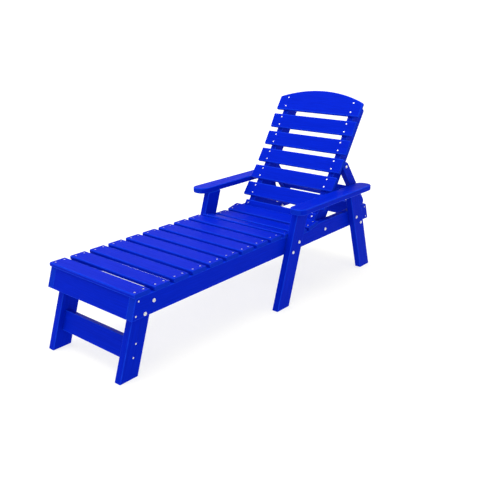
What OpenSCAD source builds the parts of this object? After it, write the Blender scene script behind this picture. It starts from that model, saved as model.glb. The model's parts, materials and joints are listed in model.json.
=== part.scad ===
// Adirondack lounge chair in recycled plastic boards, with a hinged back and a folding prop.
// Millimetres. +Z is up, the foot end faces -Y, the head end +Y, and the width runs along X.

/* [Overall] */
// Length of every seat slat, which is also the width over the two side rails
seat_width = 549; // [480:1:640]
// Height of the flat part of the seat above the ground
seat_height = 374; // [340:1:440]
// Distance between the centres of neighbouring seat slats
seat_pitch = 106; // [100:1:118]
// Distance from the rear edge of the last seat slat to the back's pivot, on the level
pivot_setback = 66; // [60:1:90]
// Length of the rails' lower edge behind the prop's rear notches
rail_tail = 79; // [70:1:120]

/* [Boards] */
// Thickness of the frame boards
frame_thick = 35; // [32:1:40]
// Width of the frame boards
frame_wide = 89; // [84:1:95]
// Thickness of the slats
slat_thick = 19; // [16:1:24]
// Width of the slats
slat_wide = 82; // [72:1:88]
// Size of the eased edge on the slats
slat_ease = 5; // [2:0.5:7]

/* [Seat dip] */
// Depth of the dip in the top edge of the rails
dip_depth = 22; // [10:1:26]
// Length of each ramp of the dip, level to bottom
dip_ramp = 102; // [98:1:106]

/* [Legs and arms] */
// Lean of the legs from upright
leg_lean = 18; // [12:0.5:20]
// Distance from the seat's level top to the arm's top
arm_rise = 128; // [110:1:170]
// Thickness of the arm boards
arm_thick = 29; // [24:1:35]
// Width of the arm boards
arm_wide = 89; // [80:1:100]
// Gap across the width between the arm's inner edge and the rail's outer face
arm_inset = 3; // [3:0.5:20]
// Overhang of the arm board ahead of the front post and behind the head leg
arm_overhang = 48; // [20:1:70]
// Corner radius of the arm boards, seen from above
arm_corner = 38; // [20:1:40]
// Height of the foot stretcher's centre
stretcher_height = 118; // [100:1:160]
// Distance of the front post's centre behind the first slat's centre, at mid rail
post_place = 967; // [940:1:980]
// Distance of the head leg's centre ahead of the prop's rear notches, at mid rail
head_leg_place = 89; // [80:1:140]

/* [Backrest] */
// Angle of the back above level, with the prop in the rear notches
back_angle = 57; // [52:0.5:60]
// Distance between the centres of neighbouring back slats
back_pitch = 108; // [104:1:112]
// How far the lowest back slat reaches below the pivot, along the back
back_low = 30; // [20:1:32]
// Depth of the hollow in the front edge of the uprights
back_hollow = 15; // [0:1:20]
// Rise of the arched top slat above its own corners
arch_rise = 53; // [20:1:80]
// Distance from the pivot to the front edge of the uprights at their foot
upright_front = 54; // [50:1:58]
// Distance from the pivot to the rear edge of the uprights
upright_rear = 37; // [35:1:42]
// Gap between each upright and its rail
upright_gap = 6.5; // [5:0.5:12]

/* [Prop] */
// Distance from the back's pivot to the prop's pivot, along the back
prop_place = 353; // [340:1:360]
// Distance from the prop's pivot to the centre of its rounded foot
prop_length = 293; // [285:1:300]
// Width of the prop arms
prop_wide = 50; // [44:1:54]
// Gap between each prop arm and its upright
prop_gap = 3.5; // [2:0.5:5]
// Distance from the prop's pivot to the centre of the crossbar
crossbar_place = 228; // [215:1:232]
// Depth of the notches in the rails
notch_depth = 3.5; // [2:0.5:3.5]
// Distance from one notch to the next
notch_pitch = 88; // [60:1:95]

/* [Fasteners] */
// Diameter of the leg bolts
bolt_d = 10; // [8:0.5:10]
// Diameter of the pivot bolts of the back
pivot_d = 10; // [8:0.5:12]
// Diameter of the pivot bolts of the prop
prop_bolt_d = 10; // [6:0.5:10]
// Diameter of the screw shanks
screw_d = 5; // [4:0.5:6]
// Diameter of the screw heads
screw_head_d = 8; // [8:0.5:12]
// Radial clearance of a turning bolt in its hole
turn_clear = 0.08; // [0.04:0.01:0.1]

/* [View] */
// Which part to draw

/* [Hidden] */
$fn = 32;
plastic = [0.02, 0.16, 0.78];
steel = [0.75, 0.75, 0.77];
cut_over = 1;            // a cutter reaches this far past the face it cuts
part_gap = 0.3;          // air between parts of different bodies that would touch
hole_clear = 0.25;       // radial clearance of a fixed fastener in its hole
half_width = seat_width / 2;
rail_inner = half_width - frame_thick;
rail_top = seat_height - slat_thick;
rail_bottom = rail_top - frame_wide;
rail_mid = rail_top - frame_wide / 2;
lean_run = tan(leg_lean);
lean_wide = frame_wide / cos(leg_lean);
lean_thick = frame_thick / cos(leg_lean);

// Lengths are laid out from the first slat's centre, then moved so the outline is centred.
nose_low = -62;                                   // lower front corner of the rails
level_slats = 9;                                  // level slats ahead of the dip
slat_count = level_slats + 3;
dip_centre = (level_slats + 1) * seat_pitch;
dip_flat = 2 * seat_pitch - dip_ramp;             // level floor of the dip
dip_1 = dip_centre - dip_flat / 2 - dip_ramp;
dip_2 = dip_centre - dip_flat / 2;
dip_3 = dip_centre + dip_flat / 2;
dip_4 = dip_centre + dip_flat / 2 + dip_ramp;
dip_tilt = atan(dip_depth / dip_ramp);
pivot_y = (level_slats + 2) * seat_pitch + slat_wide / 2 + pivot_setback;
pivot_z = rail_mid - 2;
foot_leg_y = nose_low + frame_wide / 2 * lean_run + lean_thick + lean_wide / 2;
toe_y = foot_leg_y - rail_mid * lean_run - lean_wide / 2;

// Backrest frame: v runs up the back from the pivot, w stands out of it towards the sitter.
back_slats = 7;
back_start = slat_wide / 2 - back_low;            // centre of the lowest back slat
hollow_from = back_start + 0.9 * back_pitch;
hollow_to = back_start + 5.45 * back_pitch;
upright_crest = upright_front - 9;                // front edge of the uprights at their top
prop_slat_gap = 3.7;                              // air between the prop arms and the slats
prop_w = front_at(prop_place) - prop_wide / 2 - prop_slat_gap;
foot_r = prop_wide / 2;
foot_z = rail_top + foot_r - notch_depth + part_gap;
prop_y = pivot_y + prop_place * cos(back_angle) - prop_w * sin(back_angle);
prop_z = pivot_z + prop_place * sin(back_angle) + prop_w * cos(back_angle);
foot_y = prop_y + sqrt(pow(prop_length, 2) - pow(prop_z - foot_z, 2));
prop_lean = atan2(foot_z - prop_z, foot_y - prop_y);
notch_count = 3;

tail_low = foot_y + rail_tail;                    // lower rear corner of the rails
head_leg_y = foot_y - head_leg_place;
heel_y = head_leg_y + rail_mid * lean_run + lean_wide / 2;
shift_y = -(toe_y + max(tail_low, heel_y)) / 2;

arm_top = seat_height + arm_rise;
arm_under = arm_top - arm_thick;
arm_inner = half_width + arm_inset;
arm_outer = arm_inner + arm_wide;
arm_front = post_place + (arm_under - rail_mid) * lean_run - lean_wide / 2 - arm_overhang;
arm_back = head_leg_y - (arm_under - rail_mid) * lean_run + lean_wide / 2 + arm_overhang;
post_out = half_width + frame_thick;

bolt_drop = 12;                          // how far the leg bolts' middle lies below mid rail
bolt_along = frame_wide / 2 - 24;        // rise of each leg bolt about that middle
bolt_across = frame_wide / 2 - 27.5;     // offset of each leg bolt from the leg's centre line
end_screw_rise = frame_wide / 2 - 15.5;  // rise of the end screws about the board's centre
slat_screw_in = 19;                      // distance of the slat screws from the slat's end
slat_screw_off = slat_wide / 2 - 18.5;   // offset of the slat screws from the centre line
crest_screw_low = 23 - slat_wide / 2;     // lower screws of the crest slat
crest_screw_high = slat_wide / 2 - 5;      // upper screws of the crest slat
screw_head_t = 3;
seat_screw_bite = 26;
short_screw_bite = 10;   // first row of seat screws, above the apron's own screws
back_screw_bite = 20;
end_screw_bite = 34;
head_share = 1.8;        // diameter of a bolt's head, in bolt diameters
nut_share = 1.8;         // width of a nut over its corners, in bolt diameters
bolt_head_t = 4.5;
nut_t = 8;
thread_out = 2;           // how far a bolt passes its nut
bore_clear = 0.1;         // play of nuts, spacers and plugs, across
plug_d = 12;
plug_t = 5;
arm_screw_bite = 60;
arm_screw_off = 20;      // distance of each arm screw from the leg's centre line

upright_outer = rail_inner - upright_gap;
upright_inner = upright_outer - frame_thick;
crest_low = back_start + (back_slats - 1) * back_pitch - slat_wide / 2;
crest_side = crest_low + slat_wide;
crest_top = crest_side + arch_rise;
upright_top = crest_side + 4;
short_slat_half = rail_inner - 3.5;
back_slat_half = half_width - 2.5;
back_screw_x = (upright_outer + upright_inner) / 2;

prop_inner = upright_outer + prop_gap;
prop_outer = prop_inner + frame_thick;

// Front edge of the uprights at a distance v up the back, and at the joints between slats.
function hollow_mid() = (hollow_from + hollow_to) / 2;
function hollow_at(v) = max(0, 1 - pow((v - hollow_mid()) / (hollow_to - hollow_mid()), 2));
function taper_at(v) = max(0, v - joint_v(1)) / (hollow_to - joint_v(1));
function front_line(v) = upright_front + (upright_crest - upright_front) * taper_at(v);
function front_at(v) = front_line(v) - back_hollow * hollow_at(v);
function joint_v(k) = back_start + (k - 0.5) * back_pitch;
function slat_w(k) = (front_at(joint_v(k)) + front_at(joint_v(k + 1))) / 2;
function flat_at(k, v) = slat_w(k) + (v - back_start - k * back_pitch) * tan(slat_slope(k));
function slat_slope(k) = atan((front_at(joint_v(k + 1)) - front_at(joint_v(k))) / back_pitch);

// Section of a board with eased edges, centred across and standing on its lower face.
function eased(wide, thick, ease) = [
    [-wide / 2 + ease, 0], [wide / 2 - ease, 0], [wide / 2 - ease * 0.3, ease * 0.3],
    [wide / 2, ease], [wide / 2, thick - ease], [wide / 2 - ease * 0.3, thick - ease * 0.3],
    [wide / 2 - ease, thick], [-wide / 2 + ease, thick],
    [-wide / 2 + ease * 0.3, thick - ease * 0.3], [-wide / 2, thick - ease],
    [-wide / 2, ease], [-wide / 2 + ease * 0.3, ease * 0.3]
];

module place() {
    translate([0, shift_y, 0]) children();
}

module back_place() {
    translate([0, shift_y + pivot_y, pivot_z]) rotate([back_angle, 0, 0]) children();
}

module prop_place_at() {
    translate([0, shift_y + prop_y, prop_z]) rotate([prop_lean, 0, 0]) children();
}

// Extrudes a profile drawn in (y, z) from x0 to x1.
module slab(x0, x1) {
    translate([x0, 0, 0]) rotate([90, 0, 90]) linear_extrude(x1 - x0) children();
}

module both_sides() {
    children();
    mirror([1, 0, 0]) children();
}

module x_rod(d, x0, x1) {
    translate([x0, 0, 0]) rotate([0, 90, 0]) cylinder(d = d, h = x1 - x0);
}

// Leaning board in (y, z): sign 1 leans back towards its top, -1 leans forward.
module lean_profile(y_mid, sign, top) {
    run = sign * lean_run;
    polygon([
        [y_mid - rail_mid * run - lean_wide / 2, 0],
        [y_mid - rail_mid * run + lean_wide / 2, 0],
        [y_mid + (top - rail_mid) * run + lean_wide / 2, top],
        [y_mid + (top - rail_mid) * run - lean_wide / 2, top]
    ]);
}

function seat_bite(i, s) = i == 0 && s < 0 ? short_screw_bite : seat_screw_bite;

// Seats each seat slat: its own origin is the middle of its lower face.
module seat_place(i) {
    level = i < level_slats;
    down = i == level_slats;
    up = i == level_slats + 2;
    y = down ? (dip_1 + dip_2) / 2 : up ? (dip_3 + dip_4) / 2 : i * seat_pitch;
    z = level ? rail_top : (down || up) ? rail_top - dip_depth / 2 : rail_top - dip_depth;
    tilt = down ? -dip_tilt : up ? dip_tilt : 0;
    translate([0, shift_y + y, z]) rotate([tilt, 0, 0]) children();
}

module rail_profile() {
    polygon([
        [nose_low, rail_bottom], [tail_low, rail_bottom],
        [tail_low - frame_wide * lean_run, rail_top], [dip_4, rail_top],
        [dip_3, rail_top - dip_depth], [dip_2, rail_top - dip_depth], [dip_1, rail_top],
        [nose_low + frame_wide * lean_run, rail_top]
    ]);
}

// Upper (s = 1) or lower (s = -1) bolt of a leg that leans by sign about y_mid.
module leg_bolt_at(y_mid, sign, s) {
    across = s * (bolt_along * lean_run + bolt_across / cos(leg_lean)) - bolt_drop * lean_run;
    translate([0, y_mid + sign * across, rail_mid - bolt_drop + s * bolt_along]) children();
}

module at_leg_bolts() {
    for (leg = [[foot_leg_y, 1], [post_place, 1], [head_leg_y, -1]])
        for (s = [-1, 1])
            leg_bolt_at(leg[0], leg[1], s) children();
}

module at_leg_bolts_of(y_mid, sign) {
    for (s = [-1, 1])
        leg_bolt_at(y_mid, sign, s) children();
}

module at_foot_apron_screws() {
    for (s = [-1, 1])
        translate([
            0,
            nose_low + (frame_wide / 2 + s * end_screw_rise) * lean_run + lean_thick / 2,
            rail_mid + s * end_screw_rise
        ]) children();
}

module at_head_apron_screws() {
    for (s = [-1, 1])
        translate([
            0,
            tail_low - (frame_wide / 2 + s * end_screw_rise) * lean_run - lean_thick / 2,
            rail_mid + s * end_screw_rise
        ]) children();
}

function leg_line_y(z) = foot_leg_y + (z - rail_mid) * lean_run;

module at_stretcher_screws() {
    for (s = [-1, 1])
        translate([
            0,
            leg_line_y(stretcher_height + s * end_screw_rise * cos(leg_lean)),
            stretcher_height + s * end_screw_rise * cos(leg_lean)
        ]) children();
}

// Cutter for a screw that enters the +X face at x_face and bites inwards.
module side_screw_cut(x_face, bite) {
    x_rod(screw_d + 2 * hole_clear, x_face - bite - cut_over, x_face + cut_over);
    x_rod(screw_head_d + 2 * hole_clear, x_face - screw_head_t, x_face + cut_over);
}

module side_screw(x_face, bite) {
    x_rod(screw_d, x_face - bite, x_face - screw_head_t / 2);
    x_rod(screw_head_d, x_face - screw_head_t, x_face);
}

// Screw standing in a slat: its origin is the slat's lower face, +Z comes out of the slat.
module slat_screw(bite) {
    translate([0, 0, -bite]) cylinder(d = screw_d, h = bite + slat_thick - screw_head_t / 2);
    translate([0, 0, slat_thick - screw_head_t]) cylinder(d = screw_head_d, h = screw_head_t);
}

module slat_screw_cut(bite) {
    hole = screw_d + 2 * hole_clear;
    head = screw_head_d + 2 * hole_clear;
    translate([0, 0, -bite - cut_over])
        cylinder(d = hole, h = bite + slat_thick + 2 * cut_over);
    translate([0, 0, slat_thick - screw_head_t])
        cylinder(d = head, h = screw_head_t + cut_over);
}

module at_seat_screw(i, s) {
    seat_place(i) translate([half_width - slat_screw_in, s * slat_screw_off, 0]) children();
}

module seat_screw_cuts() {
    for (i = [0 : slat_count - 1])
        for (s = [-1, 1])
            at_seat_screw(i, s) slat_screw_cut(seat_bite(i, s));
}

module rail() {
    difference() {
        place() slab(rail_inner, half_width) rail_profile();
        place() at_leg_bolts() x_rod(bolt_d + 2 * hole_clear, rail_inner - cut_over, post_out);
        place() at_foot_apron_screws() side_screw_cut(half_width, frame_thick + end_screw_bite);
        place() at_head_apron_screws() side_screw_cut(half_width, frame_thick + end_screw_bite);
        place() translate([0, pivot_y, pivot_z])
            x_rod(pivot_d + 2 * hole_clear, rail_inner - cut_over, half_width + cut_over);
        for (k = [0 : notch_count - 1])
            place() translate([0, foot_y - k * notch_pitch, foot_z])
                x_rod(prop_wide + 2 * part_gap, rail_inner - cut_over, half_width + cut_over);
        seat_screw_cuts();
    }
}

module rail_right() {
    color(plastic) rail();
}

module rail_left() {
    color(plastic) mirror([1, 0, 0]) rail();
}

module foot_apron() {
    color(plastic) difference() {
        place() slab(-rail_inner, rail_inner) polygon([
            [nose_low, rail_bottom], [nose_low + lean_thick, rail_bottom],
            [nose_low + lean_thick + frame_wide * lean_run, rail_top],
            [nose_low + frame_wide * lean_run, rail_top]
        ]);
        both_sides() place() at_foot_apron_screws()
            side_screw_cut(half_width, frame_thick + end_screw_bite);
    }
}

module head_apron() {
    color(plastic) difference() {
        place() slab(-rail_inner, rail_inner) polygon([
            [tail_low, rail_bottom], [tail_low - lean_thick, rail_bottom],
            [tail_low - lean_thick - frame_wide * lean_run, rail_top],
            [tail_low - frame_wide * lean_run, rail_top]
        ]);
        both_sides() place() at_head_apron_screws()
            side_screw_cut(half_width, frame_thick + end_screw_bite);
    }
}

module foot_leg() {
    difference() {
        place() slab(rail_inner - frame_thick, rail_inner)
            lean_profile(foot_leg_y, 1, rail_top - part_gap);
        place() at_leg_bolts_of(foot_leg_y, 1)
            x_rod(bolt_d + 2 * hole_clear, rail_inner - frame_thick - cut_over, post_out);
        place() at_stretcher_screws() side_screw_cut(rail_inner, frame_thick + end_screw_bite);
    }
}

module foot_leg_right() {
    color(plastic) foot_leg();
}

module foot_leg_left() {
    color(plastic) mirror([1, 0, 0]) foot_leg();
}

module foot_stretcher() {
    span = rail_inner - frame_thick;
    color(plastic) difference() {
        place() translate([0, leg_line_y(stretcher_height), stretcher_height])
            rotate([-leg_lean, 0, 0])
                cube([2 * span, frame_thick, frame_wide], center = true);
        both_sides() place() at_stretcher_screws()
            side_screw_cut(rail_inner, frame_thick + end_screw_bite);
    }
}

module arm_screw_spots(sign, y_mid) {
    y_top = y_mid + sign * (arm_under - rail_mid) * lean_run;
    for (s = [-arm_screw_off, arm_screw_off])
        translate([half_width + frame_thick / 2, y_top + s, arm_top - plug_t]) children();
}

module arm_screw() {
    translate([0, 0, -arm_screw_bite]) cylinder(d = screw_d, h = arm_screw_bite - 1);
    translate([0, 0, -screw_head_t]) cylinder(d = screw_head_d, h = screw_head_t);
}

module arm_screw_cut() {
    translate([0, 0, -arm_screw_bite - cut_over])
        cylinder(d = screw_d + 2 * hole_clear, h = arm_screw_bite + cut_over);
    translate([0, 0, -screw_head_t]) cylinder(d = plug_d, h = screw_head_t + plug_t + cut_over);
}

module standing_leg(y_mid, sign) {
    difference() {
        place() slab(half_width, post_out) lean_profile(y_mid, sign, arm_under);
        place() at_leg_bolts_of(y_mid, sign)
            x_rod(bolt_d + 2 * hole_clear, half_width - cut_over, post_out + cut_over);
        place() arm_screw_spots(sign, y_mid) arm_screw_cut();
    }
}

module front_post_right() {
    color(plastic) standing_leg(post_place, 1);
}

module front_post_left() {
    color(plastic) mirror([1, 0, 0]) standing_leg(post_place, 1);
}

module head_leg_right() {
    color(plastic) standing_leg(head_leg_y, -1);
}

module head_leg_left() {
    color(plastic) mirror([1, 0, 0]) standing_leg(head_leg_y, -1);
}

module arm() {
    difference() {
        place() translate([0, 0, arm_under]) linear_extrude(arm_thick) {
            translate([arm_inner, arm_front + arm_corner])
                square([arm_wide, arm_back - arm_front - 2 * arm_corner]);
            translate([arm_inner + arm_corner, arm_front])
                square([arm_wide - 2 * arm_corner, arm_back - arm_front]);
            for (x = [arm_inner + arm_corner, arm_outer - arm_corner])
                for (y = [arm_front + arm_corner, arm_back - arm_corner])
                    translate([x, y]) circle(r = arm_corner);
        }
        place() arm_screw_spots(1, post_place) arm_screw_cut();
        place() arm_screw_spots(-1, head_leg_y) arm_screw_cut();
    }
}

module arm_right() {
    color(plastic) arm();
}

module arm_left() {
    color(plastic) mirror([1, 0, 0]) arm();
}

module seat_slat(i) {
    color(plastic) difference() {
        seat_place(i) slab(-half_width, half_width)
            polygon(eased(slat_wide, slat_thick, slat_ease));
        both_sides() for (s = [-1, 1])
            at_seat_screw(i, s) slat_screw_cut(seat_bite(i, s));
    }
}

module seat_screws() {
    color(steel) both_sides() for (i = [0 : slat_count - 1])
        for (s = [-1, 1])
            at_seat_screw(i, s) slat_screw(seat_bite(i, s));
}

module frame_screws() {
    color(steel) both_sides() place() {
        at_foot_apron_screws() side_screw(half_width, frame_thick + end_screw_bite);
        at_head_apron_screws() side_screw(half_width, frame_thick + end_screw_bite);
        at_stretcher_screws() side_screw(rail_inner, frame_thick + end_screw_bite);
    }
}

// Leg bolt: the head stands on the face at x1, and the thread passes the face at x0.
module bolt(d, x0, x1, reach) {
    x_rod(d, x0 - reach, x1 + bolt_head_t / 2);
    x_rod(head_share * d, x1, x1 + bolt_head_t);
}

module leg_bolts() {
    inner = rail_inner - frame_thick;
    color(steel) both_sides() place() {
        at_leg_bolts_of(foot_leg_y, 1) bolt(bolt_d, inner, half_width, nut_t + thread_out);
        at_leg_bolts_of(post_place, 1) bolt(bolt_d, rail_inner, post_out, nut_t + thread_out);
        at_leg_bolts_of(head_leg_y, -1) bolt(bolt_d, rail_inner, post_out, nut_t + thread_out);
    }
}

module nut(d, x0) {
    difference() {
        translate([x0 - nut_t, 0, 0]) rotate([0, 90, 0])
            cylinder(d = nut_share * d, h = nut_t, $fn = 6);
        x_rod(d + bore_clear, x0 - nut_t - cut_over, x0 + cut_over);
    }
}

module leg_nuts() {
    inner = rail_inner - frame_thick;
    color(steel) both_sides() place() {
        at_leg_bolts_of(foot_leg_y, 1) nut(bolt_d, inner);
        at_leg_bolts_of(post_place, 1) nut(bolt_d, rail_inner);
        at_leg_bolts_of(head_leg_y, -1) nut(bolt_d, rail_inner);
    }
}

module arm_screws() {
    color(steel) both_sides() place() {
        arm_screw_spots(1, post_place) arm_screw();
        arm_screw_spots(-1, head_leg_y) arm_screw();
    }
}

module arm_plugs() {
    color(plastic) both_sides() place() {
        arm_screw_spots(1, post_place) cylinder(d = plug_d - bore_clear, h = plug_t);
        arm_screw_spots(-1, head_leg_y) cylinder(d = plug_d - bore_clear, h = plug_t);
    }
}

module back_pivot_bolts() {
    color(steel) both_sides() place() translate([0, pivot_y, pivot_z])
        bolt(pivot_d, upright_inner - part_gap, half_width, nut_t + thread_out);
}

module back_pivot_nuts() {
    color(steel) both_sides() place() translate([0, pivot_y, pivot_z])
        nut(pivot_d, upright_inner - part_gap);
}

module back_pivot_spacers() {
    color(steel) both_sides() place() translate([0, pivot_y, pivot_z]) difference() {
        x_rod(pivot_d * 2, upright_outer + part_gap, rail_inner);
        x_rod(pivot_d + bore_clear, upright_outer - cut_over, rail_inner + cut_over);
    }
}

// Upright in (v, w), with its front edge cut to a flat under each slat.
module upright_profile() {
    low_r = upright_rear;
    nose = 30;
    polygon(concat(
        [[0, -upright_rear], [upright_top - 8, -upright_rear], [upright_top, 8 - upright_rear]],
        [[upright_top, flat_at(back_slats - 1, upright_top)]],
        [for (k = [back_slats - 1 : -1 : 1]) [joint_v(k), front_at(joint_v(k))]],
        [[-nose * 0.4, upright_front], [-nose * 0.85, upright_front - 8], [-nose, upright_front - 24]],
        [for (a = [150 : -15 : 15]) [-low_r * sin(a * 0.5 + 15), -low_r * cos(a * 0.5 + 15)]]
    ));
}

module upright() {
    difference() {
        back_place() slab(upright_inner, upright_outer) upright_profile();
        back_place() x_rod(pivot_d + 2 * turn_clear, upright_inner - cut_over, half_width);
        back_place() translate([0, prop_place, prop_w])
            x_rod(prop_bolt_d + 2 * hole_clear, upright_inner - cut_over, half_width);
        back_screw_cuts();
    }
}

module upright_right() {
    color(plastic) upright();
}

module upright_left() {
    color(plastic) mirror([1, 0, 0]) upright();
}

// Seats each back slat: its own origin is the middle of its rear face.
module back_slat_place(k) {
    back_place() translate([0, back_start + k * back_pitch, slat_w(k)])
        rotate([slat_slope(k), 0, 0]) children();
}

function back_screw_rows(k) =
    k == 0 ? [slat_screw_off]
    : k == back_slats - 1 ? [crest_screw_low, crest_screw_high]
    : [-slat_screw_off, slat_screw_off];

module at_back_screws(k) {
    for (x = [-back_screw_x, back_screw_x])
        for (y = back_screw_rows(k))
            translate([x, y, 0]) children();
}

module back_screw_cuts() {
    for (k = [0 : back_slats - 1])
        back_slat_place(k) at_back_screws(k) slat_screw_cut(back_screw_bite);
}

module back_slat(k) {
    half = k == 0 ? short_slat_half : back_slat_half;
    color(plastic) difference() {
        back_slat_place(k) slab(-half, half) polygon(eased(slat_wide, slat_thick, slat_ease));
        back_slat_place(k) at_back_screws(k) slat_screw_cut(back_screw_bite);
    }
}

module crest_slat() {
    k = back_slats - 1;
    arch_r = (pow(back_slat_half, 2) + pow(arch_rise, 2)) / (2 * arch_rise);
    color(plastic) difference() {
        back_slat_place(k) intersection() {
            slab(-back_slat_half, back_slat_half)
                translate([arch_rise / 2, 0])
                    polygon(eased(slat_wide + arch_rise, slat_thick, slat_ease));
            translate([0, slat_wide / 2 + arch_rise - arch_r, -cut_over])
                cylinder(r = arch_r, h = slat_thick + 2 * cut_over, $fn = 96);
        }
        back_slat_place(k) at_back_screws(k) slat_screw_cut(back_screw_bite);
    }
}

module back_screws() {
    color(steel) for (k = [0 : back_slats - 1])
        back_slat_place(k) at_back_screws(k) slat_screw(back_screw_bite);
}

module prop_pivot_bolts() {
    color(steel) both_sides() back_place() translate([0, prop_place, prop_w])
        bolt(prop_bolt_d, upright_inner, prop_outer + part_gap, nut_t + thread_out);
}

module prop_pivot_nuts() {
    color(steel) both_sides() back_place() translate([0, prop_place, prop_w])
        nut(prop_bolt_d, upright_inner);
}

module prop_pivot_spacers() {
    color(steel) both_sides() back_place() translate([0, prop_place, prop_w]) difference() {
        x_rod(prop_bolt_d * 2, upright_outer, prop_inner - part_gap);
        x_rod(prop_bolt_d + bore_clear, upright_outer - cut_over, prop_inner + cut_over);
    }
}

// Prop in (u, t): u runs from its pivot to its foot.
module prop_arm() {
    difference() {
        prop_place_at() union() {
            translate([prop_inner, 0, -foot_r]) cube([frame_thick, prop_length, prop_wide]);
            x_rod(prop_wide, prop_inner, prop_outer);
            translate([0, prop_length, 0]) x_rod(prop_wide, prop_inner, prop_outer);
        }
        prop_place_at() x_rod(prop_bolt_d + 2 * turn_clear, prop_inner - cut_over, prop_outer + cut_over);
        prop_place_at() at_crossbar_screws() side_screw_cut(prop_outer, frame_thick + end_screw_bite);
    }
}

module at_crossbar_screws() {
    for (s = [-slat_screw_off, slat_screw_off])
        translate([0, crossbar_place + s, 0]) children();
}

module prop_arm_right() {
    color(plastic) prop_arm();
}

module prop_arm_left() {
    color(plastic) mirror([1, 0, 0]) prop_arm();
}

module prop_crossbar() {
    color(plastic) difference() {
        prop_place_at() translate([-prop_inner, crossbar_place - slat_wide / 2, -frame_thick / 2])
            cube([2 * prop_inner, slat_wide, frame_thick]);
        both_sides() prop_place_at() at_crossbar_screws()
            side_screw_cut(prop_outer, frame_thick + end_screw_bite);
    }
}

module prop_screws() {
    color(steel) both_sides() prop_place_at() at_crossbar_screws()
        side_screw(prop_outer, frame_thick + end_screw_bite);
}

rail_right();
rail_left();
foot_apron();
head_apron();
foot_leg_right();
foot_leg_left();
foot_stretcher();
front_post_right();
front_post_left();
head_leg_right();
head_leg_left();
arm_right();
arm_left();
seat_slat(0);  // seat_slat_1
seat_slat(1);  // seat_slat_2
seat_slat(2);  // seat_slat_3
seat_slat(3);  // seat_slat_4
seat_slat(4);  // seat_slat_5
seat_slat(5);  // seat_slat_6
seat_slat(6);  // seat_slat_7
seat_slat(7);  // seat_slat_8
seat_slat(8);  // seat_slat_9
seat_slat(9);  // seat_slat_10
seat_slat(10);  // seat_slat_11
seat_slat(11);  // seat_slat_12
seat_screws();
frame_screws();
leg_bolts();
leg_nuts();
arm_screws();
arm_plugs();
back_pivot_bolts();
back_pivot_nuts();
back_pivot_spacers();
upright_right();
upright_left();
back_slat(0);  // back_slat_1
back_slat(1);  // back_slat_2
back_slat(2);  // back_slat_3
back_slat(3);  // back_slat_4
back_slat(4);  // back_slat_5
back_slat(5);  // back_slat_6
crest_slat();
back_screws();
prop_pivot_bolts();
prop_pivot_nuts();
prop_pivot_spacers();
prop_arm_right();
prop_arm_left();
prop_crossbar();
prop_screws();
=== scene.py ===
"""Adirondack lounge chair: blue plastic boards and stainless fasteners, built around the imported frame."""

import json
import math
import random

import bmesh
import bpy
import numpy as np
from mathutils import Matrix, Vector

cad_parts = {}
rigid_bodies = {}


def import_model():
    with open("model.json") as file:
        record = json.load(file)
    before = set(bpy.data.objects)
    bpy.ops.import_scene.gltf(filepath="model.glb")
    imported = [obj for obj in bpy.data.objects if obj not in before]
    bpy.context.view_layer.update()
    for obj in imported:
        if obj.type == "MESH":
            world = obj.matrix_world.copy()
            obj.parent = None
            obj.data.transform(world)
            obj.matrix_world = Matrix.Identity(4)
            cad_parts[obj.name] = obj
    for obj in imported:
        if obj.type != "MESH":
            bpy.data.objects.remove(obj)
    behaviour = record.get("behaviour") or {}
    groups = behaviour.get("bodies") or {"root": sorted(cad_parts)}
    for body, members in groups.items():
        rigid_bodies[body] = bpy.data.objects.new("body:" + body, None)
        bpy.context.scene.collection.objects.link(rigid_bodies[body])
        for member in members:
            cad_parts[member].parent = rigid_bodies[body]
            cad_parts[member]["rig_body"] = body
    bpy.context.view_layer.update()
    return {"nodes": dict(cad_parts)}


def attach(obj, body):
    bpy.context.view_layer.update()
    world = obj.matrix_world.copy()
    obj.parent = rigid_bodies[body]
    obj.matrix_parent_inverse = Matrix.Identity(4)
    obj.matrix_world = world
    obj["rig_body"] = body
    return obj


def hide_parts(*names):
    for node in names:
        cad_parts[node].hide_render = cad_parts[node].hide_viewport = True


bl_info = {
    "name": "Adirondack Lounge Chair",
    "version": (1, 0, 0),
    "blender": (4, 5, 0),
    "location": "View3D > Sidebar > Lounge Chair",
    "description": "Finishes a slatted lounge chair of plastic boards around its packed frame",
    "category": "Add Mesh",
}

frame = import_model()

MM = 0.001
AXIS_X = Vector((1, 0, 0))
AXIS_Z = Vector((0, 0, 1))
SIDES = ("right", "left")
SEAT_SLATS = sorted(
    (n for n in frame["nodes"] if n.startswith("seat_slat_")), key=lambda n: int(n.split("_")[-1])
)
BACK_SLATS = sorted(n for n in frame["nodes"] if n.startswith("back_slat_"))
MERGE = 2e-6            # corners closer than this are one corner
LEVEL = 1e-5            # corners this close to a plane lie in it
FLAT = 0.9995           # faces whose normals agree this well are one face
STRAIGHT_TURN = 0.3     # a corner that turns less than this, in degrees, is not one
SOFT_TURN = 25          # edges that turn less than this, in degrees, belong to a curve
ARRIS_TURN = 60         # edges that turn more than this run all round a board's face
SHARP_TURN = 32         # edges that turn more than this are shaded sharp
FACE_WEIGHT = 80        # pull of the large flat faces on the shading of the eased edges
LONG_SEGMENTS = 5       # steps across the round long edges of a slat
END_SEGMENTS = 2        # steps across its eased ends
ARM_SEGMENTS = 6        # steps across the edges of an arm board
ARCH_STEPS = 40         # steps along the arch of the crest slat
HEAD_DEPTH = 1 * MM     # a screw head is looked for this far below its own face
OVER = 2 * MM           # a cutter reaches this far past the face that it cuts
RING = 36               # corners around a turned part
GRAIN_SEED = 11


# --- Sizes, colours and stage, for the sidebar -------------------------------------------------


def length(name, about, default_mm, top_mm=60):
    """A named length, given in millimetres and kept in metres."""
    return bpy.props.FloatProperty(
        name=name,
        description=about,
        default=default_mm * MM,
        min=0.0,
        max=top_mm * MM,
        unit="LENGTH",
        precision=4,
    )


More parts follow.
